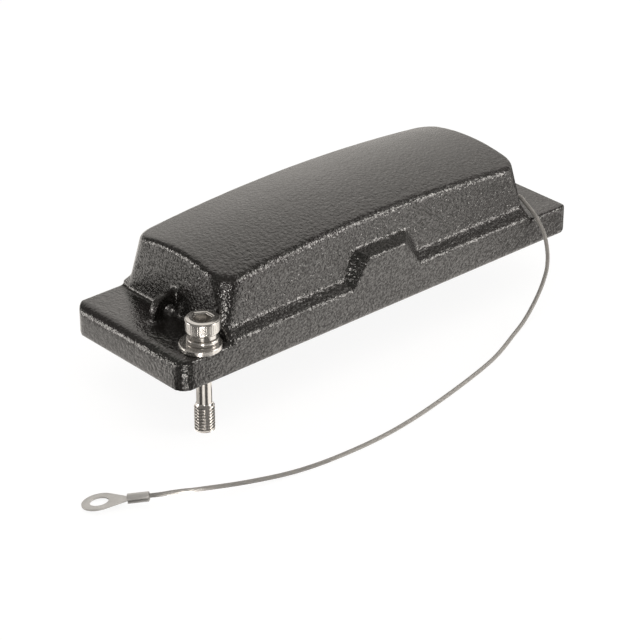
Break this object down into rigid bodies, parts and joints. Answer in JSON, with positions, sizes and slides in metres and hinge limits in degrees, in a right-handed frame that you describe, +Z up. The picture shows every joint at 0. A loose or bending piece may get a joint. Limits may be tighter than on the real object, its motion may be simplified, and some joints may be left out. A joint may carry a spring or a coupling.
{
  "type": "protective cover for bulkhead connector housing",
  "caption": "Cast rectangular cover that closes a bulkhead connector housing, with captive screws at opposite corners, a sealing ring and a wire-rope lanyard ending in a ring terminal.",
  "frame": {"origin": "centre of the cover's mating face, on its underside", "axes": "+X along the length towards the end with the lanyard, +Z up out of the panel through the dome, -Y towards the long side that the lanyard falls over"},
  "size_m": [0.1963, 0.0848, 0.0505],
  "materials": {
    "coated_casting": "semi-gloss black coat with a fine leather grain on cast aluminium",
    "stainless": "bright, with a knurled head",
    "rope_steel": "bare stranded wire rope",
    "tinned_metal": "tin-plated, satin",
    "seal_rubber": "matt elastomer"
  },
  "bodies": {
    "cover": {"cover_shell": "coated_casting", "mating_seal": "seal_rubber", "lanyard_loop": "rope_steel", "lanyard_ferrule": "tinned_metal", "lanyard_cord": "rope_steel", "ring_terminal": "tinned_metal"},
    "washers_front_left": {"flat_washer_front_left": "stainless", "lock_washer_front_left": "stainless"},
    "turning_screw_front_left": {"screw_front_left": "stainless"},
    "washers_rear_right": {"flat_washer_rear_right": "stainless", "lock_washer_rear_right": "stainless"},
    "turning_screw_rear_right": {"screw_rear_right": "stainless"}
  },
  "joints": [
    {"name": "screw_lift_front_left", "type": "slide", "parent": "cover", "child": "washers_front_left", "axis": [0, 0, 1], "range_m": [0, 0.0086]},
    {"name": "screw_turn_front_left", "type": "hinge", "parent": "washers_front_left", "child": "turning_screw_front_left", "pos_m": [-0.0661, -0.02, 0.0126], "axis": [0, 0, 1], "continuous": true},
    {"name": "screw_lift_rear_right", "type": "slide", "parent": "cover", "child": "washers_rear_right", "axis": [0, 0, 1], "range_m": [0, 0.0086]},
    {"name": "screw_turn_rear_right", "type": "hinge", "parent": "washers_rear_right", "child": "turning_screw_rear_right", "pos_m": [0.0661, 0.02, 0.0126], "axis": [0, 0, 1], "continuous": true}
  ]
}
